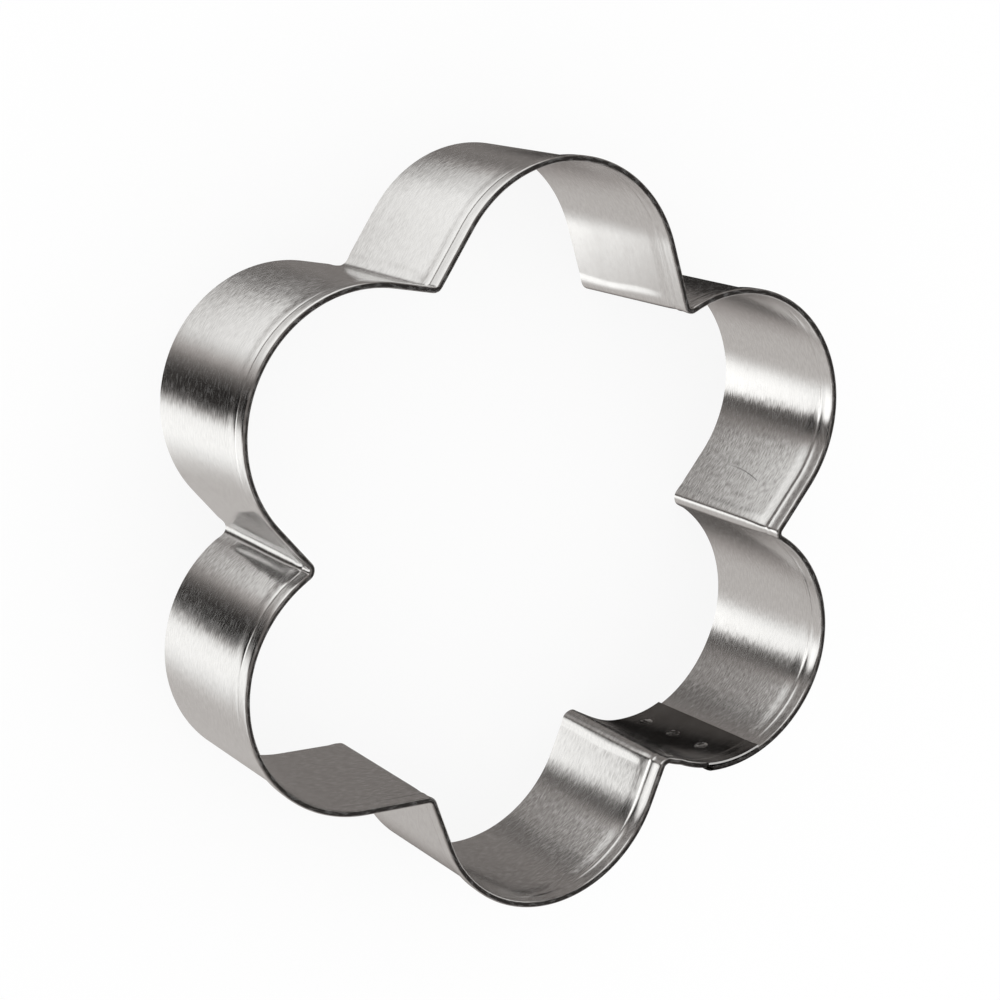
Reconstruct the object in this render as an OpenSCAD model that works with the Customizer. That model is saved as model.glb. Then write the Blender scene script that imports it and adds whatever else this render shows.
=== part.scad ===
// Six-petal flower cookie cutter: one strip of tinned sheet steel on edge, bent into a closed outline.
// The strip's lower edge is the bare cutting edge. Its upper edge is folded over outwards into a hem.
// The two ends lap in one petal and are held by three spot welds in a line across the strip.
// The cutter lies on its cutting edge at z = 0, with its middle at the origin and one petal on +Y.

/* [Band] */
// Depth of the cutter, from the cutting edge to the top of the hem
band_h = 25.4; // [18:0.1:40]
// Thickness of the sheet
sheet_t = 0.3; // [0.2:0.05:0.4]

/* [Hem] */
// Height of the folded-over strip, from its raw edge to the top
hem_w = 2.4; // [1.5:0.1:4.5]
// Gap inside the fold
hem_gap = 0.08; // [0.04:0.02:0.16]
// How far the wall steps inwards behind the hem
joggle = 0.12; // [0.04:0.02:0.2]
// Height of that step
joggle_rise = 0.5; // [0.2:0.1:1]
// Distance from the step up to the raw edge
edge_gap = 0.3; // [0.1:0.1:0.8]
// How far the fold bulges past the flat of the hem on each side
bulge = 0.02; // [0.01:0.01:0.04]

/* [Flower] */
// Distance from the flower's middle to the middle of each petal
petal_out = 34; // [33.5:0.1:34.5]
// Radius of a petal, to the middle of the sheet
petal_r = 17.8; // [17:0.1:18.1]
// Distance from the flower's middle to the tip of each notch
notch_out = 38; // [37.6:0.1:39.5]
// Extra distance to the tips of the two shallow notches
shallow_by = 1.8; // [0:0.1:2.5]
// Distance round the flower by which the notches next to the first shallow one stand away from it
spread_by = 1.5; // [0:0.1:2]
// Radius of the bend in a notch, to the middle of the sheet
notch_bend_r = 1.1; // [0.9:0.1:1.4]
// Share by which the bent flower is pressed in along one line through its middle, and out across it
oval_share = 0.045; // [0:0.005:0.05]

/* [Lap] */
// Distance along the petal's bend from its start to the end of the outer layer
lap_in = 7.2; // [5:0.1:10]
// Length of the inner layer past the weld line
inner_tail = 5.2; // [3.5:0.1:7]
// Length of the outer layer past the weld line
outer_tail = 4.2; // [3:0.1:5]
// Gap between the two layers, where the outer layer's step comes nearest to the inner layer
lap_gap = 0.05; // [0.03:0.01:0.1]
// Distance from the end of the inner layer's hem to the end of the outer layer
hem_clear = 0.6; // [0.5:0.1:1.5]
// Width of the slit between that hem and the bare end of the inner layer
hem_slit = 0.2; // [0.1:0.05:0.3]
// Distance from the inner layer's end to where the outer layer starts to ease in
ease_gap = 0.6; // [0.3:0.1:2]

/* [Spot welds] */
// Radius of a spot weld
weld_r = 1.1; // [0.8:0.1:1.6]
// Height of the lowest weld above the cutting edge
weld_z = 3.7; // [3:0.1:4.5]
// Distance from one weld to the next, up the strip
weld_pitch = 7.1; // [5:0.1:7.5]
// Depth of the dent that each weld leaves in both faces
weld_dent = 0.06; // [0.02:0.01:0.1]

/* [Hidden] */
$fn = 72;

// Counts and turns
petals = 6;
petal_step = 360 / petals;
lap_turn = -30;       // direction of petal 0, which holds the lap
first_shallow = 2;    // the notch between petals 2 and 3
second_shallow = petals - 2;
least_flank = 0.4;    // shortest straight piece between a petal's bend and a notch's bend
oval_turn = 46;       // direction in which the flower is pressed in
ease_share = 1 / 3;   // share of the lap's step that is left in the radius of the easing bend
bend_step = 6;        // widest turn between two points of a petal's bend
notch_step = 15;      // widest turn between two points of a notch's bend
fold_layers = 3;      // layers that round the top of the fold
seat_share = 0.3;     // share of the lowest layer that the wall and the leg reach into
overrun = 0.5;        // how far a cut runs past what it cuts

// The hem, in distances outwards from the middle of the sheet and heights
fold_r = sheet_t + hem_gap / 2;
fold_x = fold_r - sheet_t / 2 - joggle;
fold_z = band_h - fold_r;
layer_h = fold_r / fold_layers;
leg_x = fold_x + hem_gap / 2;
step_x = -sheet_t / 2 - joggle;
hem_z = band_h - hem_w;
step_z = hem_z - edge_gap;

// Radial distance between the two layers of the lap
lap_step = sheet_t + joggle + lap_gap;
outer_r = petal_r + lap_step;
ease_r = petal_r + lap_step * ease_share;

steel = [0.74, 0.73, 0.71];
weld_steel = [0.45, 0.44, 0.43];

function along(turn) = [cos(turn), sin(turn)];
function across(turn) = [-sin(turn), cos(turn)];
function heading(v) = atan2(v[1], v[0]);
function arc_turn(length, radius) = length / radius * 180 / PI;
function wrapped(turn) = turn - 360 * floor(turn / 360);
function after(turn, start) = start + wrapped(turn - start);

// The bent flower is pressed in along oval_turn and out across it
function pressed(p) = p - oval_share * (p * along(oval_turn)) * along(oval_turn)
    + oval_share * (p * across(oval_turn)) * across(oval_turn);

function petal_turn(i) = lap_turn + i * petal_step;
function petal_middle(i) = pressed(petal_out * along(petal_turn(i)));

// The lap lies near the start of petal 0. Past it, the outer layer eases in on a slightly larger bend.
last = petals - 1;
lap_middle = petal_middle(0);
lap_start = turn_in(bend_after(last), notch_middle(last));
outer_end = lap_start + arc_turn(lap_in, petal_r);
weld_at = outer_end + arc_turn(outer_tail, outer_r);
inner_end = weld_at + arc_turn(inner_tail, petal_r);
hem_end = outer_end - arc_turn(hem_clear, petal_r);
bare_start = hem_end + arc_turn(hem_slit, petal_r);
ease_at = inner_end + arc_turn(ease_gap, petal_r);
ease_middle = lap_middle + (outer_r - ease_r) * along(ease_at);

// Notch i lies between petal i and petal i + 1; each bend is a middle and a radius
function bend_before(i) = i == 0 ? [ease_middle, ease_r] : [petal_middle(i), petal_r];
function bend_after(i) = [petal_middle((i + 1) % petals), petal_r];

// Least distance out, along a direction u, at which a notch's bend still clears a petal's bend
function clear_reach(petal, u) =
    let (apart = pow(petal[1] + notch_bend_r, 2) + pow(least_flank, 2))
    petal[0] * u + sqrt(max(0, apart - pow(cross(petal[0], u), 2)));
function notch_shift(i) = i == first_shallow - 1 ? -spread_by : i == first_shallow + 1 ? spread_by : 0;
function notch_turn(i) = petal_turn(i) + petal_step / 2 + arc_turn(notch_shift(i), notch_out);
function notch_tip(i) = notch_out + (i == first_shallow || i == second_shallow ? shallow_by : 0);
function notch_middle(i) =
    let (nominal = pressed((notch_tip(i) + notch_bend_r) * along(notch_turn(i))))
    let (u = nominal / norm(nominal))
    u * max(norm(nominal), clear_reach(bend_before(i), u), clear_reach(bend_after(i), u));

// Directions in which a petal's bend meets the straight flank to the notch after it and before it
function flank_lean(petal, notch) = acos(min(1, (petal[1] + notch_bend_r) / norm(notch - petal[0])));
function turn_out(petal, notch) = heading(notch - petal[0]) - flank_lean(petal, notch);
function turn_in(petal, notch) = heading(notch - petal[0]) + flank_lean(petal, notch);

// Points of a bend from one direction to another, no further apart than a step
function bend(centre, radius, start, end, step) =
    let (count = ceil(abs(end - start) / step))
    [for (i = [0:count]) centre + radius * along(start + (end - start) * i / count)];

// The bend of petal i, at a distance x outwards from the middle of the sheet
function petal_bend(i, x) =
    let (petal = [petal_middle(i), petal_r])
    let (start = turn_in(petal, notch_middle(i - 1)))
    let (end = turn_out(petal, notch_middle(i)))
    bend(petal[0], petal[1] + x, start, after(end, start), bend_step);

// The bend of notch i turns the other way
function notch_bend(i, x) =
    let (start = turn_out(bend_before(i), notch_middle(i)) + 180)
    let (end = turn_in(bend_after(i), notch_middle(i)) + 180)
    bend(notch_middle(i), notch_bend_r - x, after(start, end), end, notch_step);

// The outer layer of the lap up to the easing bend, the easing bend, and the inner layer
function outer_layer(x) = bend(lap_middle, outer_r + x, outer_end, ease_at - bend_step, bend_step);
function easing(x) =
    let (end = turn_out(bend_before(0), notch_middle(0)))
    bend(ease_middle, ease_r + x, ease_at, after(end, ease_at), bend_step);
function inner_layer(x, start, end) = bend(lap_middle, petal_r + x, start, end, bend_step);

// The strip from its outer end, counter-clockwise to a direction in the inner layer of the lap
function strip_line(x, end) = concat(
    outer_layer(x),
    easing(x),
    notch_bend(0, x),
    [for (i = [1:last]) each concat(petal_bend(i, x), notch_bend(i, x))],
    inner_layer(x, lap_start, end)
);

function reversed(points) = [for (i = [len(points) - 1:-1:0]) points[i]];

// Upright sheet between two lines and two heights
module upright(outside, inside, bottom, top) {
    translate([0, 0, bottom])
        linear_extrude(height = top - bottom)
            polygon(concat(outside, reversed(inside)));
}

// The same along the strip, between two distances outwards
module sheet(inside, outside, bottom, top, end) {
    upright(strip_line(outside, end), strip_line(inside, end), bottom, top);
}

// Wall, the wall stepped in behind the hem, the turned-down leg, and the layers of the fold.
// Each piece ends inside the next, so that no two of their faces fall together.
// Under the outer layer, the inner layer has no hem: its stepped wall goes up bare to the top.
module strip() {
    leg_top = fold_z + seat_share * layer_h;
    sheet(-sheet_t / 2, sheet_t / 2, 0, step_z, inner_end);
    sheet(step_x, step_x + sheet_t, step_z - joggle_rise, leg_top, hem_end);
    sheet(leg_x, leg_x + sheet_t, hem_z, leg_top, hem_end);
    for (i = [0:fold_layers - 1]) {
        half = (fold_r + bulge) * cos(90 * i / fold_layers);
        bottom = fold_z + max(0, i - 1 / 2) * layer_h;
        sheet(fold_x - half, fold_x + half, bottom, fold_z + (i + 1) * layer_h, hem_end);
    }
    upright(inner_layer(step_x + sheet_t, bare_start, inner_end), inner_layer(step_x, bare_start, inner_end),
        step_z - joggle_rise, band_h);
}

// Cylinder through both layers of the lap, from one radius to another
module weld_core(i, inside, outside) {
    translate([lap_middle[0], lap_middle[1], weld_z + i * weld_pitch])
        rotate([0, 90, weld_at])
            translate([0, 0, inside])
                cylinder(r = weld_r, h = outside - inside);
}

module band() {
    color(steel)
        difference() {
            strip();
            for (i = [0:2])
                weld_core(i, petal_r - sheet_t - overrun, outer_r + sheet_t + overrun);
        }
}

// A spot weld fills its hole in both layers, less the dent in each face
module spot_weld(i) {
    color(weld_steel)
        weld_core(i, petal_r - sheet_t / 2 + weld_dent, outer_r + sheet_t / 2 - weld_dent);
}

band();
spot_weld(0);  // spot_weld_low
spot_weld(1);  // spot_weld_middle
spot_weld(2);  // spot_weld_high
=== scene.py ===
# %% [markdown]
# # A flower cookie cutter in brushed tinplate
# The cutter is one strip of thin tinned steel, bent on edge into six petals. Its upper edge is folded
# over into a hem that saves the hand, its lower edge is bare and cuts the dough, and its two ends lap
# in one petal under three spot welds.
# This lesson makes the strip as its maker does: a flat sheet gets its hem first, then it is bent.

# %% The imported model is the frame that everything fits
import math

import bmesh
import bpy
from mathutils import Matrix, Vector


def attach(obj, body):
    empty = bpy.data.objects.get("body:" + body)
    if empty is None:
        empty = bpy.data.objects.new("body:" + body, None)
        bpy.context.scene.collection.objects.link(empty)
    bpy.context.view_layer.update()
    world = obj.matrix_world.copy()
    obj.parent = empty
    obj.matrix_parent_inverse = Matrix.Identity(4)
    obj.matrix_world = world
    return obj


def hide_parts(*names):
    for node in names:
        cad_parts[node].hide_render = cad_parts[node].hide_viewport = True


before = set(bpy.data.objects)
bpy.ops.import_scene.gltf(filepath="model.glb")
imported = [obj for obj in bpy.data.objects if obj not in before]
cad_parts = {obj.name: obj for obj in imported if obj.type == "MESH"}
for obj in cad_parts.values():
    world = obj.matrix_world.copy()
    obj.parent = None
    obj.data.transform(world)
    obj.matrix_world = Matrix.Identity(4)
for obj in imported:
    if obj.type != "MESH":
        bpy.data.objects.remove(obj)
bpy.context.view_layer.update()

bpy.ops.object.select_all(action="DESELECT")

# %% [markdown]
# ## Sizes
# All lengths are in metres, because that is Blender's unit. The strip's sizes are those of a real
# cutter: sheet of 0.3 mm, one inch deep, with a hem of 2.4 mm. A helper named mm keeps them readable.

# %% Sizes of the strip, the flower and the lap


def mm(value):
    return value / 1000


BAND_HEIGHT = mm(25.4)
SHEET = mm(0.3)
HEM_WIDTH = mm(2.4)
FOLD_MIDDLE = mm(0.16)
FOLD_RADIUS = mm(0.26)
FOLD_HEIGHT = BAND_HEIGHT - SHEET / 2 - FOLD_RADIUS

PETALS = 6
PETAL_OUT = mm(34)
PETAL_RADIUS = mm(17.8)
NOTCH_OUT = mm(38)
FIRST_SHALLOW, SECOND_SHALLOW = 2, 4
SHALLOW_BY = mm(1.8)
SPREAD_BY = mm(1.5)
LEAST_FLANK = mm(0.4)
NOTCH_RADIUS = mm(1.1)
OVAL_SHARE = 0.045
OVAL_TURN = math.radians(46)
FIRST_PETAL_TURN = math.radians(-30)

TINY = mm(0.01)
LAP_STEP = mm(0.52)
LAP_IN = mm(7.2)
OUTER_TAIL = mm(4.2)
INNER_TAIL = mm(5.2)
EASE_GAP = mm(0.6)
HEM_CLEAR = mm(0.6)
HEM_SLIT = mm(0.2)
OUTER_RADIUS = PETAL_RADIUS + LAP_STEP
EASE_RADIUS = PETAL_RADIUS + LAP_STEP / 3

# %% [markdown]
# ## The bend line
# Seen from above, the strip is a chain of arcs: a wide one round each petal, and a tight one the other
# way in each notch, with a short straight flank between them. The chain could be drawn by eye, but
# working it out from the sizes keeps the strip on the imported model, so each arc's middle and its two
# tangent directions are computed here.

# %% Middles and directions of the arcs


def along(turn):
    return Vector((math.cos(turn), math.sin(turn)))


def heading(vector):
    return math.atan2(vector.y, vector.x)


def after(turn, start):
    return start + (turn - start) % math.tau


def pressed(point):
    """The flower is a little oval: pressed in along one line, and out across it."""
    line, across = along(OVAL_TURN), along(OVAL_TURN + math.pi / 2)
    return point - OVAL_SHARE * point.dot(line) * line + OVAL_SHARE * point.dot(across) * across


def petal_turn(i):
    return FIRST_PETAL_TURN + i * math.tau / PETALS


def petal_middle(i):
    return pressed(PETAL_OUT * along(petal_turn(i % PETALS)))


def flank_lean(petal, radius, notch):
    return math.acos(min(1, (radius + NOTCH_RADIUS) / (notch - petal).length))


def clear_reach(middle, radius, direction):
    """Least distance out along a direction at which a notch's bend still clears a petal's bend."""
    apart = (radius + NOTCH_RADIUS) ** 2 + LEAST_FLANK ** 2
    aside = middle.x * direction.y - middle.y * direction.x
    return middle.dot(direction) + math.sqrt(max(0, apart - aside * aside))


def notch_middle(i, before=None):
    """The notches beside the first shallow one stand away from it, towards the next petals."""
    tip = NOTCH_OUT + (SHALLOW_BY if i in (FIRST_SHALLOW, SECOND_SHALLOW) else 0)
    shift = {FIRST_SHALLOW - 1: -SPREAD_BY, FIRST_SHALLOW + 1: SPREAD_BY}.get(i, 0)
    turn = petal_turn(i) + math.pi / PETALS + shift / NOTCH_OUT
    nominal = pressed((tip + NOTCH_RADIUS) * along(turn))
    direction = nominal.normalized()
    bends = [before or (petal_middle(i), PETAL_RADIUS), (petal_middle(i + 1), PETAL_RADIUS)]
    return direction * max([nominal.length] + [clear_reach(*bend, direction) for bend in bends])


LAP_MIDDLE = petal_middle(0)
last_notch = notch_middle(PETALS - 1)
lap_start = heading(last_notch - LAP_MIDDLE) + flank_lean(LAP_MIDDLE, PETAL_RADIUS, last_notch)
outer_end = lap_start + LAP_IN / PETAL_RADIUS
weld_turn = outer_end + OUTER_TAIL / OUTER_RADIUS
inner_end = weld_turn + INNER_TAIL / PETAL_RADIUS
ease_turn = inner_end + EASE_GAP / PETAL_RADIUS
EASE_MIDDLE = LAP_MIDDLE + (OUTER_RADIUS - EASE_RADIUS) * along(ease_turn)
print("weld line at", round(math.degrees(weld_turn), 2), "degrees round the first petal")

# %% [markdown]
# The points of the bend line come out in order, from the outer end of the lap, round the flower, to
# the inner end. Each notch's place along the strip is kept, because the sheet is divided finely there.

# %% Points of the bend line


def arc(middle, radius, start, end, step):
    count = max(1, math.ceil(abs(end - start) * radius / step))
    turns = [start + (end - start) * k / count for k in range(count + 1)]
    return [middle + radius * along(turn) for turn in turns]


def bend_line():
    """Points in the middle of the sheet, and the distance along the strip of each notch's tip."""
    petal_step, notch_step = mm(0.35), mm(0.1)
    points = arc(LAP_MIDDLE, OUTER_RADIUS, outer_end, ease_turn, petal_step)
    middle, radius = EASE_MIDDLE, EASE_RADIUS
    start = ease_turn
    tips = []
    for i in range(PETALS):
        notch = notch_middle(i, (middle, radius))
        end = after(heading(notch - middle) - flank_lean(middle, radius, notch), start)
        points += arc(middle, radius, start, end, petal_step)
        leave = end + math.pi
        middle, radius = petal_middle(i + 1), PETAL_RADIUS
        start = heading(notch - middle) + flank_lean(middle, radius, notch)
        enter = start + math.pi
        turned = arc(notch, NOTCH_RADIUS, after(leave, enter), enter, notch_step)
        tips.append(len(points) + len(turned) // 2)
        points += turned
    points += arc(LAP_MIDDLE, PETAL_RADIUS, start, after(inner_end, start), petal_step)
    clean, distance, at_tip = [points[0]], 0.0, []
    for k, point in enumerate(points[1:], 1):
        step = (point - clean[-1]).length
        if step > TINY / 2:
            clean.append(point)
            distance += step
        if k in tips:
            at_tip.append(distance)
    return clean, distance, at_tip


LINE, STRIP_LENGTH, NOTCH_AT = bend_line()


def point_at(distance):
    """The first point of the line that is at least so far along the strip."""
    walked = 0
    for start, end in zip(LINE, LINE[1:]):
        walked += (end - start).length
        if walked >= distance:
            return end
    return LINE[-1]


print("strip", round(STRIP_LENGTH * 1000, 2), "mm, notches at", [round(s * 1000, 1) for s in NOTCH_AT])

# %% [markdown]
# ## The flat strip and its hem
# A tinsmith folds the hem while the sheet is still flat, so the mesh does too. It starts as one low row
# of faces that stands along X, is divided more finely where the notches will be, and is then extruded
# upwards row by row. Near the top the wall leans out and steps back again behind the folded edge. Then
# the top edge is spun half a turn and extruded down to its raw edge.

# %% A row of faces along the cutting edge


def select_where(mesh, test, kind="VERT"):
    """Selects the vertices, edges or faces for which the test holds, and nothing else."""
    bpy.ops.mesh.select_all(action="DESELECT")
    bpy.ops.mesh.select_mode(type=kind)
    edit = bmesh.from_edit_mesh(mesh)
    parts = {"VERT": edit.verts, "EDGE": edit.edges, "FACE": edit.faces}[kind]
    count = 0
    for part in parts:
        if test(part):
            part.select_set(True)
            count += 1
    edit.select_flush_mode()
    bmesh.update_edit_mesh(mesh)
    return count


def middle_of(part):
    total = Vector((0, 0, 0))
    for vertex in part.verts:
        total += vertex.co
    return total / len(part.verts)


COLUMN = mm(0.55)
NOTCH_ZONE = mm(4)
FIRST_ROW = mm(0.5)
columns = round(STRIP_LENGTH / COLUMN)
bpy.ops.mesh.primitive_grid_add(x_subdivisions=columns, y_subdivisions=1, size=1, location=(0, 0, 0))
band = bpy.context.object
band.name = band.data.name = "hemmed_band"
bpy.ops.object.mode_set(mode="EDIT")
bpy.ops.transform.resize(value=(STRIP_LENGTH, FIRST_ROW, 1))
bpy.ops.transform.rotate(value=-math.pi / 2, orient_axis="X", center_override=(0, 0, 0))
bpy.ops.transform.translate(value=(STRIP_LENGTH / 2, 0, FIRST_ROW / 2))


def near_notch(x):
    return min(abs(x - s) for s in NOTCH_AT) < NOTCH_ZONE


select_where(band.data, lambda edge: near_notch(middle_of(edge).x)
             and abs(edge.verts[0].co.z - edge.verts[1].co.z) < TINY, "EDGE")
bpy.ops.mesh.subdivide(number_cuts=3)
print("columns", columns, "vertices", len(bmesh.from_edit_mesh(band.data).verts))

# %% [markdown]
# How far the sheet stands out at each height is a sum of soft steps. The rows are close together where
# it bends, and far apart on the plain wall below.

# %% Rows up the wall, the step behind the hem, the fold and the turned-down edge
hem_low = BAND_HEIGHT - HEM_WIDTH
WALL_ROWS = [mm(v) for v in (1.5, 3, 4.6, 6.2, 7.8, 9.4, 11, 12.6, 14.2, 15.8, 17.2, 18.4, 19.3)]
LEAN_START, LEAN_END = mm(20), mm(22)
LEAN_OUT = mm(0.06)
STEP_START, STEP_END = mm(22.1), mm(22.75)
STEP_IN = mm(0.09)
RIB_START, RIB_END = mm(22.85), mm(23.15)
RIB_OUT = mm(0.03)
BULGE_START = mm(23.3)
LEG_CLOSE = mm(0.05)
LEG_CLOSE_START, LEG_CLOSE_END = mm(24.9), mm(23.1)
RAW_EDGE_START = mm(23.45)
HEM_ROWS = 46
LEG_ROWS = 18
FOLD_STEPS = 14


def eased(value, start, end):
    share = min(1, max(0, (value - start) / (end - start)))
    return share * share * (3 - 2 * share)


def wall_offset(z):
    """How far the middle of the wall lies outwards at a height: it leans out, steps back behind the
    turned-down edge, has a faint rib where that edge is pressed on, and bulges inwards into the fold."""
    lean = LEAN_OUT * eased(z, LEAN_START, LEAN_END) - STEP_IN * eased(z, STEP_START, STEP_END)
    rib = RIB_OUT * eased(z, RIB_START, RIB_END)
    bulge = (LEAN_OUT - STEP_IN + RIB_OUT + FOLD_RADIUS - FOLD_MIDDLE) * eased(z, BULGE_START, FOLD_HEIGHT)
    return lean + rib - bulge


def leg_offset(z):
    """The same for the turned-down edge: it closes on the wall below the fold, and again at its end."""
    raw_edge = LEG_CLOSE * (1 - eased(z, hem_low, RAW_EDGE_START))
    close = raw_edge + LEG_CLOSE * (1 - eased(z, LEG_CLOSE_END, LEG_CLOSE_START))
    return FOLD_MIDDLE + FOLD_RADIUS - close


def top_row(mesh):
    highest = max(vertex.co.z for vertex in bmesh.from_edit_mesh(mesh).verts)
    return select_where(mesh, lambda vertex: vertex.co.z > highest - TINY)


heights = [FIRST_ROW] + WALL_ROWS
heights += [LEAN_START + (FOLD_HEIGHT - LEAN_START) * k / HEM_ROWS for k in range(HEM_ROWS + 1)]
top_row(band.data)
for low, high in zip(heights, heights[1:]):
    move = (0, wall_offset(low) - wall_offset(high), high - low)
    bpy.ops.mesh.extrude_region_move(TRANSFORM_OT_translate={"value": move})

bpy.ops.mesh.spin(steps=FOLD_STEPS, angle=-math.pi, center=(0, -FOLD_MIDDLE, FOLD_HEIGHT), axis=(1, 0, 0))
fold_end = select_where(band.data, lambda v: abs(v.co.y + FOLD_MIDDLE + FOLD_RADIUS) < 2 * TINY
                        and abs(v.co.z - FOLD_HEIGHT) < TINY)
leg_heights = [FOLD_HEIGHT + (hem_low - FOLD_HEIGHT) * k / LEG_ROWS for k in range(LEG_ROWS + 1)]
for high, low in zip(leg_heights, leg_heights[1:]):
    move = (0, leg_offset(high) - leg_offset(low), low - high)
    bpy.ops.mesh.extrude_region_move(TRANSFORM_OT_translate={"value": move})
print("vertices at the fold's end", fold_end, "of", len(bmesh.from_edit_mesh(band.data).verts))

# %% [markdown]
# The inner end of the strip lies under the outer one, and two hems would not fit there. So its hem is
# cut away as far as the lap goes, and the bare wall is extruded up to the same height instead. Its first
# points are then moved back along the strip, until only a narrow slit is left beside the hem.

# %% The bare inner end
LAP_IN_STRIP = STRIP_LENGTH - (inner_end - outer_end) * PETAL_RADIUS
bare_from = LAP_IN_STRIP - HEM_CLEAR
cut = select_where(band.data, lambda face: middle_of(face).x > bare_from
                   and (middle_of(face).z > FOLD_HEIGHT or -middle_of(face).y > FOLD_MIDDLE), "FACE")
bpy.ops.mesh.delete(type="FACE")
hem_stop = max(v.co.x for v in bmesh.from_edit_mesh(band.data).verts if v.co.z > FOLD_HEIGHT + 10 * TINY)
select_where(band.data, lambda v: v.co.x > hem_stop + COLUMN / 2 and v.co.z > FOLD_HEIGHT - TINY)
bpy.ops.mesh.extrude_region_move(TRANSFORM_OT_translate={"value": (0, 0, BAND_HEIGHT - FOLD_HEIGHT)})
select_where(band.data, lambda v: hem_stop + COLUMN / 2 < v.co.x < hem_stop + COLUMN * 1.5
             and v.co.z > FOLD_HEIGHT - TINY)
bpy.ops.transform.translate(value=(HEM_SLIT - COLUMN, 0, 0))
print("faces cut away", cut)
bpy.ops.object.mode_set(mode="OBJECT")

# %% [markdown]
# ## A map along the strip
# The streaks, the darkened places and the scratch all follow the strip, not the room, so the flat sheet
# gets a UV map before it is bent: U is the way up the sheet and over the fold, V the way along, both in
# units of one centimetre.

# %% UV map of the flat sheet
MAP_UNIT = mm(10)


def way_up(point):
    """Distance over the sheet from the cutting edge, up the wall, over the fold and down the leg."""
    offset = -point.y
    if point.x > bare_from:
        return point.z
    if point.z > FOLD_HEIGHT + TINY / 10:
        turn = math.atan2(point.z - FOLD_HEIGHT, FOLD_MIDDLE - offset)
        return FOLD_HEIGHT + turn * FOLD_RADIUS
    if offset > FOLD_MIDDLE + FOLD_RADIUS / 2:
        return FOLD_HEIGHT + math.pi * FOLD_RADIUS + FOLD_HEIGHT - point.z
    return point.z


def map_strip(piece):
    layer = piece.data.uv_layers.new(name="strip")
    for loop in piece.data.loops:
        point = piece.data.vertices[loop.vertex_index].co
        layer.data[loop.index].uv = (way_up(point) / MAP_UNIT, point.x / MAP_UNIT)


while band.data.uv_layers:
    band.data.uv_layers.remove(band.data.uv_layers[0])
map_strip(band)
print("map", [round(max(d.uv[k] for d in band.data.uv_layers["strip"].data), 2) for k in (0, 1)])

# %% [markdown]
# ## The bead in each notch
# Where the maker's tool folds a notch, the free wall rounds out wider than the stiff hem does: it makes a
# smooth bead with a faint crease on each side, which dies out under the hem. Past the last notch, the
# pressed lap takes its place. The sheet is pushed while it is still flat: a vertex group holds how far
# each point goes, and a Displace modifier moves it.

# %% Beads by vertex group and Displace


def apply_modifier(piece, kind, **settings):
    modifier = piece.modifiers.new(kind.lower(), kind)
    for name, value in settings.items():
        setattr(modifier, name, value)
    bpy.ops.object.select_all(action="DESELECT")
    piece.select_set(True)
    bpy.context.view_layer.objects.active = piece
    bpy.ops.object.modifier_apply(modifier=modifier.name)
    print(kind, len(piece.data.vertices), "vertices")


def push(piece, name, share, axis="Y", way=1):
    """Moves each point along an axis by its own distance; a group's weights go from 0 to 1."""
    group = piece.vertex_groups.new(name=name)
    shares = [share(vertex.co) for vertex in piece.data.vertices]
    most = max(shares)
    for vertex, value in zip(piece.data.vertices, shares):
        if value > most / 1000:
            group.add([vertex.index], value / most, "REPLACE")
    apply_modifier(piece, "DISPLACE", direction=axis, strength=way * most, mid_level=0,
                   vertex_group=name)
    piece.vertex_groups.clear()


BEAD_OUT = mm(0.09)
BEAD_SIDE, BEAD_CREST, BEAD_FOOT = mm(1.3), mm(1.4), mm(2.5)
BEAD_FADE, BEAD_TOP = mm(17.6), mm(21.4)
BEAD_SWELL, BEAD_WAVE = 0.07, mm(2.6)


def bead_share(point):
    i = min(range(PETALS), key=lambda k: abs(point.x - NOTCH_AT[k]))
    aside = point.x - NOTCH_AT[i]
    if i == PETALS - 1 and aside > 0:
        return 0
    aside = abs(aside) / (1 + BEAD_SWELL * math.sin(point.z / BEAD_WAVE + 2 * i))
    crest = eased(aside, 0, BEAD_SIDE) * (1 - eased(aside, BEAD_CREST, BEAD_FOOT))
    return BEAD_OUT * crest * (1 - eased(point.z, BEAD_FADE, BEAD_TOP))


push(band, "bead", bead_share)

# %% [markdown]
# Beside the last notch the lap is pressed in with a flat tool. It leaves a facet that widens upwards
# from the notch, past it the wall leans in a little, and the cutting edge stands out. Both layers of the
# lap go the same way, so the distance past the notch is worked out for a point in either of them.

# %% The pressed lap and the rounded outer corner
FACET_SLOPE = 0.2
FACET_LOW, FACET_HIGH = mm(0.8), mm(3)
PRESS_FADE, PRESS_END = mm(10), mm(40)
FLARE_OUT = mm(0.6)
FLARE_START, FLARE_FULL, FLARE_FADE, FLARE_END = mm(2), mm(9), mm(14), mm(32)
OUTER_PETAL = mm(60)
CORNER = mm(1.1)
CORNER_REACH = mm(3)


def lap_press(past_notch, z):
    """How far the wall is pressed in at a distance past the last notch and a height."""
    facet = FACET_LOW + (FACET_HIGH - FACET_LOW) * z / BAND_HEIGHT
    fade = 1 - eased(past_notch, PRESS_FADE, PRESS_END)
    return FACET_SLOPE * min(max(0, past_notch), facet) * fade


def lap_flare(past_notch, z):
    """How far the wall stands out there: most at the cutting edge, and nothing at the rim."""
    place = eased(past_notch, FLARE_START, FLARE_FULL) * (1 - eased(past_notch, FLARE_FADE, FLARE_END))
    return FLARE_OUT * place * (1 - z / BAND_HEIGHT)


def past_last_notch(point):
    """A point near the strip's start lies in the outer layer, or in the petal beyond it."""
    if point.x < OUTER_PETAL:
        return LAP_IN_STRIP - NOTCH_AT[-1] + point.x * PETAL_RADIUS / OUTER_RADIUS
    return point.x - NOTCH_AT[-1]


def corner_share(point):
    """The outer end's upper corner is rounded off."""
    above = max(0, point.z - BAND_HEIGHT + CORNER)
    away = CORNER - math.sqrt(max(0, CORNER ** 2 - min(above, CORNER) ** 2))
    return away * (1 - min(1, point.x / CORNER_REACH))


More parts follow.
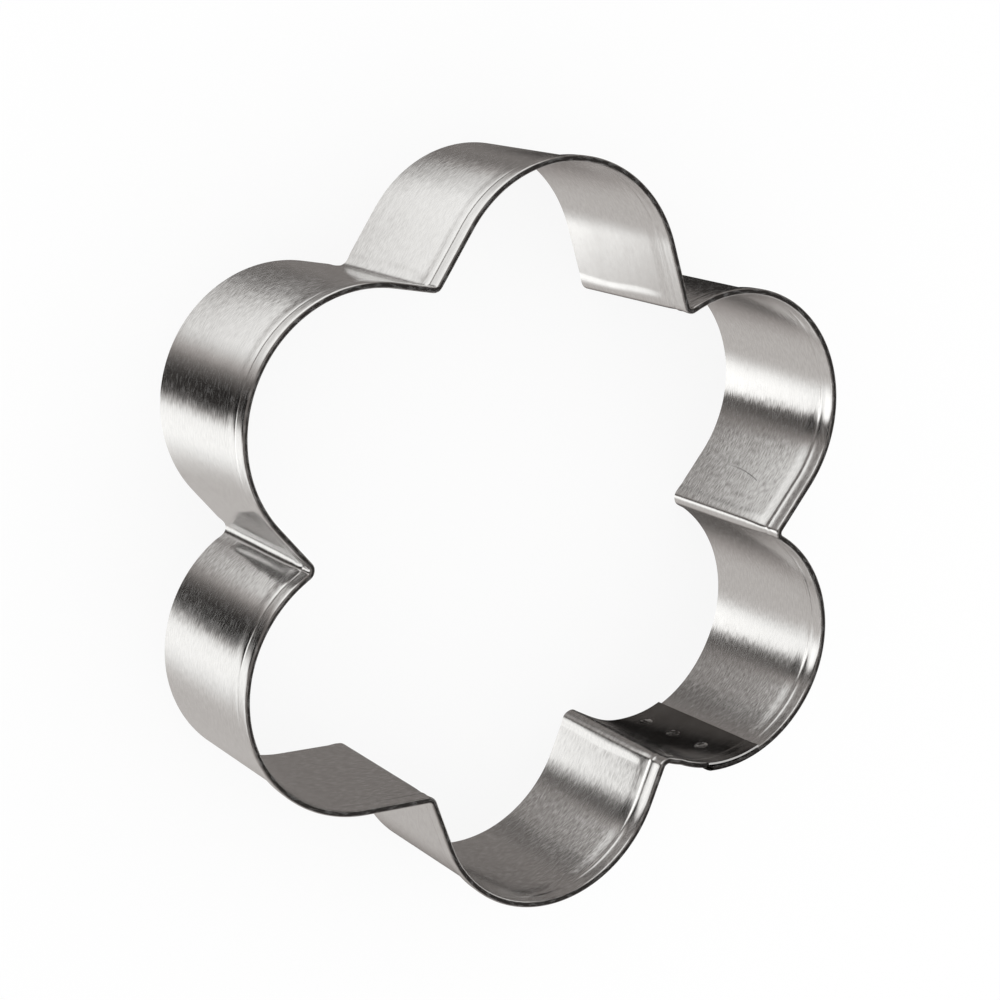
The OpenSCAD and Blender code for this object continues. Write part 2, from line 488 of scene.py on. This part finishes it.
push(band, "press", lambda point: lap_press(past_last_notch(point), point.z))
push(band, "flare", lambda point: lap_flare(past_last_notch(point), point.z), way=-1)
push(band, "corner", corner_share, "X")

# %% [markdown]
# ## Bending the strip
# The bend line becomes a flat curve, and a Curve modifier lays the strip along it. The strip was made
# along X, so its length runs along the line. A strip bent by hand is not quite square, so the rim is
# then moved a little to one side. Solidify gives the sheet its thickness, even round the tight notches,
# and a fine Bevel breaks the sheared edges.

# %% The curve and the modifiers


def make_bend_curve(points):
    curve = bpy.data.curves.new("bend line", "CURVE")
    curve.dimensions = "2D"
    spline = curve.splines.new("POLY")
    spline.points.add(len(points) - 1)
    for knot, point in zip(spline.points, points):
        knot.co = (point.x, point.y, 0, 1)
    holder = bpy.data.objects.new("bend line", curve)
    bpy.context.scene.collection.objects.link(holder)
    return holder


SKEW = Vector((mm(0.52), mm(0.4)))
EDGE_BREAK = mm(0.04)
SMOOTH_UP_TO = math.radians(40)
bend_curve = make_bend_curve(LINE)
apply_modifier(band, "CURVE", object=bend_curve, deform_axis="POS_X")
bpy.data.objects.remove(bend_curve)
push(band, "skew_x", lambda point: SKEW.x * point.z / BAND_HEIGHT, "X", -1)
push(band, "skew_y", lambda point: SKEW.y * point.z / BAND_HEIGHT, "Y")
apply_modifier(band, "SOLIDIFY", thickness=SHEET, offset=0, use_even_offset=True, use_rim=True)
apply_modifier(band, "BEVEL", width=EDGE_BREAK, segments=1, limit_method="ANGLE",
               angle_limit=math.radians(60))
bpy.ops.object.mode_set(mode="EDIT")
bpy.ops.mesh.select_all(action="SELECT")
bpy.ops.mesh.normals_make_consistent(inside=False)
bpy.ops.object.mode_set(mode="OBJECT")
bpy.ops.object.shade_smooth_by_angle(angle=SMOOTH_UP_TO)
print("band", len(band.data.polygons), "faces")

# %% [markdown]
# ## The spot welds
# Each weld is a small pressed button that joins both layers of the lap. A hole is cut through them, a
# slightly wider cylinder is set in it, and both its faces are inset and pushed in to the dish that the
# electrode leaves.

# %% Three weld buttons
WELD_RADIUS = mm(1.1)
WELD_LOW = mm(3.7)
WELD_PITCH = mm(7.1)
WELD_NAMES = ("spot_weld_low", "spot_weld_middle", "spot_weld_high")
HOLE_RADIUS = mm(1.0)
HOLE_DEPTH = mm(4)
PROUD = mm(0.03)
DISH = ((0.1, 0.01), (0.15, 0.05), (0.2, 0.06), (0.3, 0.03))
weld_ends = (PETAL_RADIUS - SHEET / 2 - PROUD, OUTER_RADIUS + SHEET / 2 + PROUD)


def cylinder_through_lap(radius, depth, height):
    """An upright cylinder's mesh is moved and turned so that it goes through both layers."""
    past_notch = LAP_IN_STRIP - NOTCH_AT[-1] + OUTER_TAIL
    pressed_in = lap_press(past_notch, height) - lap_flare(past_notch, height)
    centre = LAP_MIDDLE + (sum(weld_ends) / 2 - pressed_in) * along(weld_turn)
    turn = Matrix.Rotation(weld_turn, 4, "Z") @ Matrix.Rotation(math.pi / 2, 4, "Y")
    bpy.ops.mesh.primitive_cylinder_add(vertices=48, radius=radius, depth=depth)
    centre += Vector((-SKEW.x, SKEW.y)) * height / BAND_HEIGHT
    return bpy.context.object, Matrix.Translation((centre.x, centre.y, height)) @ turn


def make_weld(name, height):
    drill, place = cylinder_through_lap(HOLE_RADIUS, HOLE_DEPTH, height)
    drill.data.transform(place)
    apply_modifier(band, "BOOLEAN", operation="DIFFERENCE", solver="EXACT", object=drill)
    bpy.data.objects.remove(drill)
    weld, place = cylinder_through_lap(WELD_RADIUS, weld_ends[1] - weld_ends[0], height)
    weld.name = weld.data.name = name + "_button"
    bpy.ops.object.mode_set(mode="EDIT")
    for side in (-1, 1):
        select_where(weld.data, lambda face: face.normal.z * side > 0.9, "FACE")
        for inset, sink in DISH:
            bpy.ops.mesh.inset(thickness=mm(inset))
            bpy.ops.transform.translate(value=(0, 0, -side * mm(sink)))
    bpy.ops.object.mode_set(mode="OBJECT")
    weld.data.transform(place)
    bpy.ops.object.shade_smooth_by_angle(angle=math.radians(50))
    return weld


welds = []
for index, name in enumerate(WELD_NAMES):
    weld = make_weld(name, WELD_LOW + index * WELD_PITCH)
    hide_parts(name)
    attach(weld, "root")
    welds.append(weld)
bpy.ops.object.select_all(action="DESELECT")
band.select_set(True)
bpy.context.view_layer.objects.active = band
bpy.ops.object.shade_smooth_by_angle(angle=SMOOTH_UP_TO)
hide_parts("band")
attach(band, "root")
low, high = [Vector((f(v.co[k] for v in band.data.vertices) for k in range(3))) for f in (min, max)]
print("band from", [round(v * 1000, 2) for v in low], "to", [round(v * 1000, 2) for v in high])
print("welds at heights", [round((WELD_LOW + k * WELD_PITCH) * 1000, 1) for k in range(3)])

# %% [markdown]
# ## Materials
# A finish is written here as Python expressions. One small class wraps a socket, so that a sum or a
# product of two values adds the node that works it out.

# %% A wrapper for shader sockets


class Value:
    """A socket of a node tree, on which ordinary arithmetic adds Math nodes."""

    def __init__(self, tree, socket):
        self.tree, self.socket = tree, socket

    def math(self, operation, *others):
        return self.tree.node("ShaderNodeMath", {"operation": operation}, [self, *others])

    def __add__(self, other):
        return self.math("ADD", other)

    def __radd__(self, other):
        return self.math("ADD", other)

    def __sub__(self, other):
        return self.math("SUBTRACT", other)

    def __rsub__(self, other):
        return self.tree.node("ShaderNodeMath", {"operation": "SUBTRACT"}, [other, self])

    def __mul__(self, other):
        return self.math("MULTIPLY", other)

    def __truediv__(self, other):
        return self.math("DIVIDE", other)


class Tree:
    """A node tree: node() adds any node, with its settings first and then its sockets."""

    def __init__(self, owner):
        owner.use_nodes = True
        self.nodes, self.links = owner.node_tree.nodes, owner.node_tree.links
        self.nodes.clear()

    def node(self, kind, settings=None, sockets=(), output=0):
        made = self.nodes.new(kind)
        for name, value in (settings or {}).items():
            setattr(made, name, value)
        pairs = sockets.items() if isinstance(sockets, dict) else enumerate(sockets)
        for key, value in pairs:
            socket = made.inputs[key]
            if isinstance(value, Value):
                self.links.new(value.socket, socket)
            else:
                socket.default_value = value
        return Value(self, made.outputs[output])

    def ramp(self, value, low, high):
        """0 below low, 1 above high, and smooth between them."""
        return self.node("ShaderNodeMapRange", {"interpolation_type": "SMOOTHSTEP"}, {
            "Value": value, "From Min": low, "From Max": high, "To Min": 0.0, "To Max": 1.0})

    def mix_colour(self, share, first, second):
        return self.node("ShaderNodeMix", {"data_type": "RGBA"}, {0: share, 6: first, 7: second}, 2)

    def vector(self, operation, *vectors):
        return self.node("ShaderNodeVectorMath", {"operation": operation}, list(vectors))

    def scaled(self, vector, amount):
        return self.node("ShaderNodeVectorMath", {"operation": "SCALE"}, {0: vector, "Scale": amount})

    def surface(self, shader, kind="ShaderNodeOutputMaterial"):
        """Ends the tree with an output node."""
        self.links.new(shader.socket, self.nodes.new(kind).inputs["Surface"])


# %% [markdown]
# ### Brushed tinplate
# Rolled and brushed sheet is drawn along its length, so it shows fine streaks that way. A reflection
# stays crisp along the strip and is smeared across it. Streaked noise on the strip's own map tilts the
# surface a little and makes small changes of colour and roughness.

# %% The marks that the map places


def rise(tree, value, low, high):
    """0 below one distance on the map and 1 above another; both are given in millimetres."""
    return tree.ramp(value, mm(low) / MAP_UNIT, mm(high) / MAP_UNIT)


# Where the inner layer's end is darkened: partly weld heat tint, partly painted shade.
DARK_LAP_START, DARK_LAP_FULL = STRIP_LENGTH - mm(15), STRIP_LENGTH - mm(9)


def heat_tint_and_painted_shade(tree, way):
    """1 on the inner layer's end, which is darkened partly by weld heat tint and partly by painted shade,
    and 0 elsewhere.
    """
    return tree.ramp(way, DARK_LAP_START / MAP_UNIT, DARK_LAP_FULL / MAP_UNIT)


def sheared_edge(tree, up, way):
    """1 on the top of the inner end, where the sheet is cut and not folded."""
    past_slit = tree.ramp(way, (hem_stop + mm(0.1)) / MAP_UNIT, (hem_stop + mm(0.2)) / MAP_UNIT)
    return rise(tree, up, 25.33, 25.39) * past_slit


def painted_dark_fold(tree, up, way):
    """1 on the fold of the outer layer as far as the lap goes, where the fold is painted nearly black as
    painted shade.
    """
    fold = rise(tree, up, 25.3, 25.5) * (1 - rise(tree, up, 25.7, 25.8))
    return fold * (1 - rise(tree, way, 9.2, 10))


SCRATCH_PAST_NOTCH = mm(7.7)
SCRATCH_HEIGHT = mm(8.7)
SCRATCH_BOW = 0.259


def scratch(tree, up, way, facing):
    """1 on one fine curved scratch, which is on the inner face of the second petal only."""
    at = NOTCH_AT[0] + SCRATCH_PAST_NOTCH
    inwards = (petal_middle(1) - point_at(at)).normalized()
    side = tree.node("ShaderNodeVectorMath", {"operation": "DOT_PRODUCT"},
                     [facing, (inwards.x, inwards.y, 0)], 1)
    bow = up - SCRATCH_HEIGHT / MAP_UNIT
    aside = (way - at / MAP_UNIT + bow * bow * SCRATCH_BOW).math("ABSOLUTE")
    line = 1 - rise(tree, aside, 0.02, 0.14)
    ends = rise(tree, up, 5.5, 13) * (1 - rise(tree, up, 14.8, 15.2))
    return line * ends * tree.ramp(side, 0.1, 0.3)


# %% [markdown]
# Each mark is laid over the streaked tin in turn. The tilt of the surface is shared between the way up
# the sheet and the way along it, and is smaller on the hem, where the sheet was pressed smooth.

# %% The tinplate material
TIN = (0.83, 0.822, 0.815)
TIN_ROUGHNESS = 0.185
HEAT_TINT_AND_PAINTED_SHADE = (0.17, 0.162, 0.155, 1)
PAINTED_SHADE_BLACK = (0.06, 0.058, 0.055, 1)
SCRATCHED = (0.1, 0.1, 0.1, 1)
BARE_STEEL = (0.62, 0.61, 0.6, 1)


def make_tinplate():
    material = bpy.data.materials.new("brushed_tinplate")
    tree = Tree(material)
    strip = tree.node("ShaderNodeUVMap", {"uv_map": "strip"})
    up, way = [tree.node("ShaderNodeSeparateXYZ", {}, [strip], k) for k in (0, 1)]

    def streaks(across, length, detail, seed):
        """Noise drawn out along the strip; across and length are sizes in millimetres."""
        place = tree.node("ShaderNodeMapping", {"vector_type": "POINT"}, {
            "Vector": strip, "Location": (seed, seed / 3, 0),
            "Scale": (MAP_UNIT / mm(across), MAP_UNIT / mm(length), 1)})
        return tree.node("ShaderNodeTexNoise", {"noise_dimensions": "2D"}, {
            "Vector": place, "Scale": 1.0, "Detail": detail, "Roughness": 0.6})

    grain = streaks(0.24, 0.9, 0.0, 1.7)
    drawn = streaks(0.24, 1.2, 0.0, 8.1)
    broad = streaks(1.3, 7.0, 2.0, 5.3)
    waves = streaks(7.0, 8.0, 1.0, 4.4)

    facing = tree.node("ShaderNodeNewGeometry", {}, (), 1)
    level = tree.vector("NORMALIZE", tree.vector("CROSS_PRODUCT", (0, 0, 1), facing))
    upright = tree.vector("CROSS_PRODUCT", facing, level)
    calm = 1 - rise(tree, up, 21.4, 22.2) * 0.8
    tilt_up = ((grain - 0.5) * 0.04 + (broad - 0.5) * 0.03) * calm
    tilt_along = ((drawn - 0.5) * 0.045 + (waves - 0.5) * 0.02) * calm
    bent = tree.vector("ADD", tree.scaled(upright, tilt_up), tree.scaled(level, tilt_along))
    normal = tree.vector("NORMALIZE", tree.vector("ADD", facing, bent))

    sheared = sheared_edge(tree, up, way)
    shade = tree.ramp(drawn * 0.5 + grain * 0.5, 0.3, 0.7)
    colour = tree.mix_colour(shade, (*(0.91 * c for c in TIN), 1), (*TIN, 1))
    # The inner layer's end gets a dark colour: weld heat tint and painted shade.
    colour = tree.mix_colour(heat_tint_and_painted_shade(tree, way) * (0.75 + waves * 0.4), colour, HEAT_TINT_AND_PAINTED_SHADE)
    # The strip's outer end is painted black: painted shade at the step where the outer layer ends.
    colour = tree.mix_colour(1 - rise(tree, way, 0.04, 0.2), colour, PAINTED_SHADE_BLACK)
    # The outer layer's fold over the lap is painted nearly black: painted shade.
    colour = tree.mix_colour(painted_dark_fold(tree, up, way) * 0.8, colour, PAINTED_SHADE_BLACK)
    colour = tree.mix_colour(scratch(tree, up, way, facing) * 0.6, colour, SCRATCHED)
    colour = tree.mix_colour(sheared, colour, BARE_STEEL)
    metallic = 1 - tree.ramp(drawn, 0.45, 0.8) * 0.07 - sheared * 0.8
    roughness = TIN_ROUGHNESS + (grain - 0.5) * 0.08 + (waves - 0.5) * 0.04
    tree.surface(tree.node("ShaderNodeBsdfPrincipled", {}, {
        "Base Color": colour, "Metallic": metallic, "Roughness": roughness,
        "Anisotropic": 0.7, "Anisotropic Rotation": 0.25, "Normal": normal}))
    return material


def dress(piece, material):
    piece.data.materials.clear()
    piece.data.materials.append(material)


dress(band, make_tinplate())
print("materials", [material.name for material in band.data.materials])

# %% [markdown]
# The weld metal has melted and set again. It is darker than the tin, with bright specks.

# %% The weld material


def make_weld_metal():
    material = bpy.data.materials.new("pressed_weld")
    tree = Tree(material)
    place = tree.node("ShaderNodeTexCoord", {}, (), 3)
    grain = tree.node("ShaderNodeTexNoise", {}, {"Vector": place, "Scale": 1500.0, "Detail": 2.0})
    colour = tree.mix_colour(tree.ramp(grain, 0.42, 0.62), (0.1, 0.097, 0.094, 1), BARE_STEEL)
    bump = tree.node("ShaderNodeBump", {}, {"Strength": 0.8, "Distance": mm(0.05), "Height": grain})
    tree.surface(tree.node("ShaderNodeBsdfPrincipled", {}, {
        "Base Color": colour, "Metallic": 1.0, "Roughness": 0.3 + grain * 0.15, "Normal": bump}))
    return material


weld_metal = make_weld_metal()
for weld in welds:
    dress(weld, weld_metal)
print("dressed", [weld.name for weld in welds])

# %% [markdown]
# ## The light tent, the floor and the camera
# Shiny ware is photographed in a tent of white cloth with dark gaps, and what the metal shows is the
# tent. Here the tent is a dome round the cutter that only reflections see: a broad white cloth on one
# side with a sharp edge, a dark gap beside it, a second lighter cloth, and grey all round.

# %% The tent
TENT_RADIUS = mm(190)
bpy.ops.object.select_all(action="DESELECT")
bpy.ops.mesh.primitive_uv_sphere_add(segments=64, ring_count=32, radius=TENT_RADIUS)
tent = bpy.context.object
tent.name = "light_tent"
bpy.ops.object.shade_smooth()
tent.visible_camera = tent.visible_diffuse = tent.visible_shadow = False

# %% [markdown]
# The cloths are placed by their direction round the dome, in degrees from the X axis, and by their
# height, as a share of the dome's radius. Seen from above, the walls mirror the foot of the dome. Seen
# from the side, they mirror the part just below its middle, where the cloths are plainer.

# %% Where the cloths hang
TILT_ALONG = Vector((-0.79, 0.62))
TILT, LIFT = 0.03, 0.02
HIGH_WALL = (-0.85, -0.66)
LOW_WALL = (-0.865, -0.835)
NEAR_LEVEL = (-0.6, -0.3)
OPEN_TOP = (0.1, 0.4)
WHITE_FIRST, WHITE_LAST = (176, 188), (203, 230)
GREY_LAST_HIGH, GREY_LAST_LOW = (262, 303), (275, 350)
SECOND_CLOTH, SECOND_LEAN = (103, 121, 138, 160), 400.0
GAP_FIRST, GAP_LAST = (152, 169), (176, 186)
EDGE_LEAN = 4.5
BASE_LIGHT = 0.21
DARK_SIDE = (38, 58, 325, 350)
DIM_PATCHES = (292, 310, 325, 340), (55, 70, 92, 104)
FLOOR_SIDE = (60, 90, 255, 300)


def make_tent_cloth():
    material = bpy.data.materials.new("tent_cloth")
    tree = Tree(material)
    place = tree.node("ShaderNodeTexCoord", {}, (), 3)
    x, y, z = [tree.node("ShaderNodeSeparateXYZ", {}, [place], k) for k in range(3)]
    turn = (y.math("ARCTAN2", x) / math.tau).math("FRACT") * 360
    depth = (z + (y * TILT_ALONG.y + x * TILT_ALONG.x) * TILT) / TENT_RADIUS + LIFT

    def cloth(start, full, fade, end, lean=0.0):
        """1 between two directions; with a lean, its first edge turns with the height."""
        shift = (depth.math("MINIMUM", -0.67) + 0.75) * lean
        return tree.ramp(turn + shift, start, full) * (1 - tree.ramp(turn, fade, end))

    high, low = tree.ramp(depth, *HIGH_WALL), 1 - tree.ramp(depth, *LOW_WALL)
    near_level = tree.ramp(depth, *NEAR_LEVEL)
    edge = turn - high * EDGE_LEAN

    # The white cloth, which is brighter and wider at the foot of the dome
    white = tree.ramp(edge, *WHITE_FIRST) * (1 - tree.ramp(turn - low * 20, *WHITE_LAST))
    white = white * (0.58 + low * 0.4)
    # Grey cloth beyond it, and the second cloth on the far side of the gap
    grey = cloth(*WHITE_FIRST, *GREY_LAST_HIGH) * high + cloth(*WHITE_FIRST, *GREY_LAST_LOW) * (1 - high)
    grey = grey * (0.35 - near_level * 0.15)
    second = cloth(*SECOND_CLOTH, SECOND_LEAN) * tree.ramp(depth, -0.79, -0.71) * 0.87
    # The dark gap between the two, the dark side opposite, and two dimmer patches
    in_gap = tree.ramp(turn, *GAP_FIRST) * (1 - tree.ramp(edge, *GAP_LAST))
    gap = 1 - in_gap * (0.45 + tree.ramp(depth, -0.81, -0.72) * 0.5)
    lower_wall = tree.ramp(depth, -0.755, -0.715) * (1 - tree.ramp(depth, -0.55, -0.4) * 0.85)
    dark_side = 1 - (1 - cloth(*DARK_SIDE)) * lower_wall * 0.9
    dim = 1 - cloth(*DIM_PATCHES[0]) * tree.ramp(depth, -0.78, -0.72) * 0.42
    dim = dim * (1 - cloth(*DIM_PATCHES[1]) * (1 - high * 0.5) * 0.4)
    # A little light from below, and the open top, which is brighter to the west
    below = (1 - tree.ramp(depth, -0.97, -0.92)) * (1 - cloth(*FLOOR_SIDE))
    light = (BASE_LIGHT + white + grey + second) * gap * dark_side * dim + below * 0.45
    open_top = tree.ramp(depth, *OPEN_TOP)
    west = 1 - tree.ramp(x / TENT_RADIUS, -0.5, -0.1)
    light = light * (1 - open_top) + open_top * (0.035 + west * 0.13)

    tone = tree.mix_colour(tree.ramp(light, 0.2, 1.0), (1, 0.925, 0.88, 1), (1, 1, 0.985, 1))
    tree.surface(tree.node("ShaderNodeEmission", {}, {"Color": tone, "Strength": light}))
    material.cycles.emission_sampling = "NONE"
    return material


tent.data.materials.append(make_tent_cloth())
print("tent", len(tent.data.polygons), "faces")

# %% [markdown]
# The floor is white paper that takes the cutter's shadow. Reflections don't see it, because it would
# cover the foot of the tent.

# %% The floor
FLOOR_SIZE = 3
FLOOR_DROP = mm(0.05)
PAPER_GLOW = 0.88
bpy.ops.mesh.primitive_plane_add(size=FLOOR_SIZE, location=(0, 0, -FLOOR_DROP))
floor = bpy.context.object
floor.name = "floor"
floor.visible_glossy = False


def make_floor_paper():
    material = bpy.data.materials.new("white_paper")
    tree = Tree(material)
    paper = tree.node("ShaderNodeBsdfDiffuse", {}, {"Color": (1, 1, 1, 1)})
    glow = tree.node("ShaderNodeEmission", {}, {"Color": (1, 1, 1, 1), "Strength": 1.0})
    tree.surface(tree.node("ShaderNodeMixShader", {}, {0: PAPER_GLOW, 1: paper, 2: glow}))
    material.cycles.emission_sampling = "NONE"
    return material


floor.data.materials.append(make_floor_paper())
print("floor", floor.dimensions.x, "m wide")

# %% [markdown]
# The room is plain white and lights the cutter evenly from all sides.

# %% The white room
world = bpy.data.worlds.new("white room")
bpy.context.scene.world = world
room = Tree(world)
sky = room.node("ShaderNodeBackground", {}, {"Color": (1, 1, 1, 1), "Strength": 1.0})
room.surface(sky, "ShaderNodeOutputWorld")
bpy.context.scene.view_settings.view_transform = "Standard"
print("world", world.name)

# %% [markdown]
# The camera stands to the left of the cutter, above it, and is turned a little about its own axis. Its
# three directions are written out, and make the columns of its turn.

# %% The camera
LENS, SENSOR = 84.29, 36
NEAREST = mm(10)
CAMERA_AT = Vector((mm(-178.47), mm(78.09), mm(273.97)))
RIGHT = Vector((0.83529, 0.05633, 0.54692))
DOWN = Vector((-0.07973, -0.97182, 0.22185))
FORWARD = Vector((0.54401, -0.22891, -0.80725))
camera_data = bpy.data.cameras.new("camera")
camera_data.sensor_width = SENSOR
camera_data.lens = LENS
camera_data.clip_start = NEAREST
camera = bpy.data.objects.new("camera", camera_data)
bpy.context.scene.collection.objects.link(camera)
camera_turn = Matrix((RIGHT, -DOWN, -FORWARD)).transposed().to_4x4()
camera.matrix_world = Matrix.Translation(CAMERA_AT) @ camera_turn
bpy.context.scene.camera = camera
print("camera", round(CAMERA_AT.length * 1000), "mm from the cutter")
